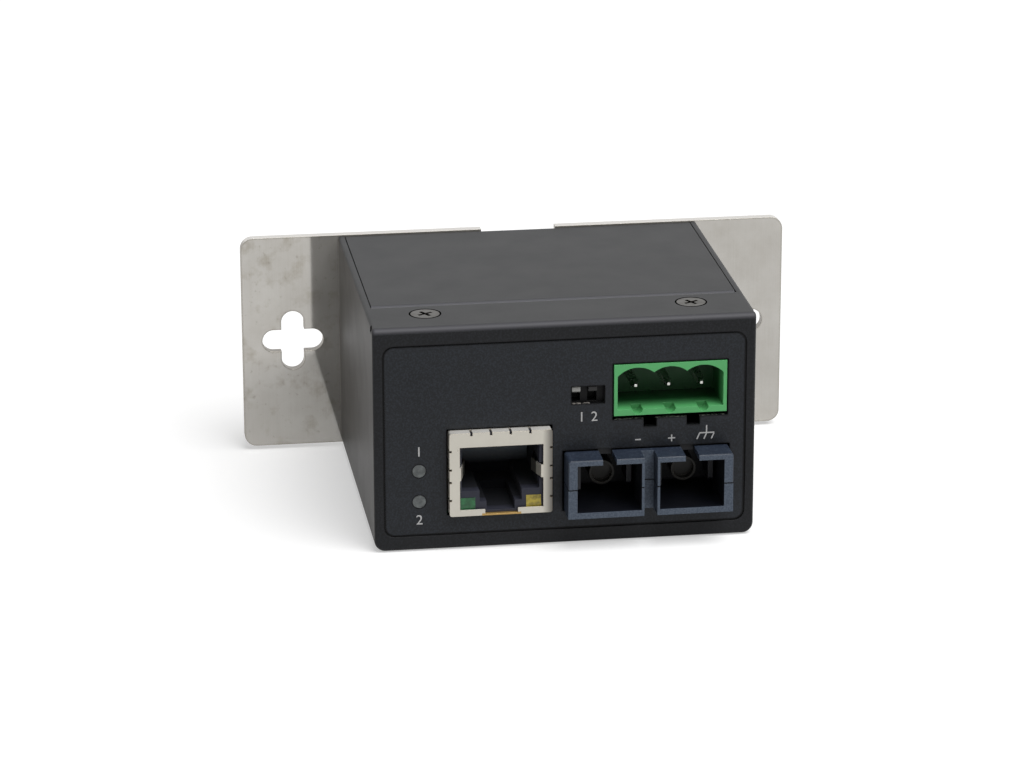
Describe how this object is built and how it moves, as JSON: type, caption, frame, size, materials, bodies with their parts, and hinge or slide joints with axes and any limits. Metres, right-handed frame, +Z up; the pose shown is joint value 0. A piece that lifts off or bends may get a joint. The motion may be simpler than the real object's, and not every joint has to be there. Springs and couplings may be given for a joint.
{
  "type": "fibre media converter",
  "caption": "Compact industrial copper-to-fibre media converter in a folded steel case with a rear wall bracket, a network jack, a duplex optical port and a power header.",
  "frame": {"origin": "centre of the whole object's footprint, on the plane of the case bottom", "axes": "+X to the right seen from the connector face, +Y from the connector face towards the wall bracket, +Z up"},
  "size_m": [0.0886, 0.056, 0.0357],
  "materials": {
    "black_coat": "fine textured powder coat",
    "stainless": "mill finish stainless",
    "overlay": "matt printed film",
    "black_screw": "black oxide",
    "zinc": "zinc plated",
    "board": "solder mask",
    "black_plastic": "moulded",
    "gold": "gold flash",
    "tin": "tin plated",
    "green_light": "translucent",
    "yellow_light": "translucent",
    "slate_plastic": "moulded, slate blue",
    "sleeve": "moulded, dark olive",
    "green_plastic": "moulded",
    "lever": "moulded",
    "clear_plastic": "frosted",
    "led": "moulded",
    "chip": "moulded",
    "can": "satin"
  },
  "bodies": {
    "converter": {"front_shell": "black_coat", "rear_cover": "black_coat", "face_overlay": "overlay", "mounting_bracket": "stainless", "cover_screws": "black_screw", "cover_nuts": "zinc", "bracket_screws": "zinc", "bracket_nuts": "zinc", "main_board": "board", "power_board": "board", "board_standoffs": "zinc", "board_spacers": "zinc", "board_screws": "zinc", "link_header": "black_plastic", "link_pins": "gold", "jack_shield": "tin", "jack_housing": "black_plastic", "jack_contacts": "gold", "jack_pins": "gold", "jack_light_green": "green_light", "jack_light_yellow": "yellow_light", "optic_lower_shell": "slate_plastic", "optic_upper_shell": "slate_plastic", "optic_latches": "slate_plastic", "optic_sleeves": "sleeve", "optic_body": "slate_plastic", "optic_pins": "tin", "header_body": "green_plastic", "header_pins": "tin", "dip_body": "black_plastic", "dip_pins": "tin", "light_pipe_upper": "clear_plastic", "light_pipe_lower": "clear_plastic", "status_leds": "led", "magnetics": "chip", "controller_chip": "chip", "crystal": "can", "capacitors": "chip", "inductor": "chip", "regulator": "chip"},
    "lever_1": {"dip_lever_1": "lever"},
    "lever_2": {"dip_lever_2": "lever"}
  },
  "joints": [
    {"name": "dip_lever_1_slide", "type": "slide", "parent": "converter", "child": "lever_1", "axis": [0, 0, 1], "range_m": [-0.00165, 0]},
    {"name": "dip_lever_2_slide", "type": "slide", "parent": "converter", "child": "lever_2", "axis": [0, 0, 1], "range_m": [-0.00165, 0]}
  ]
}
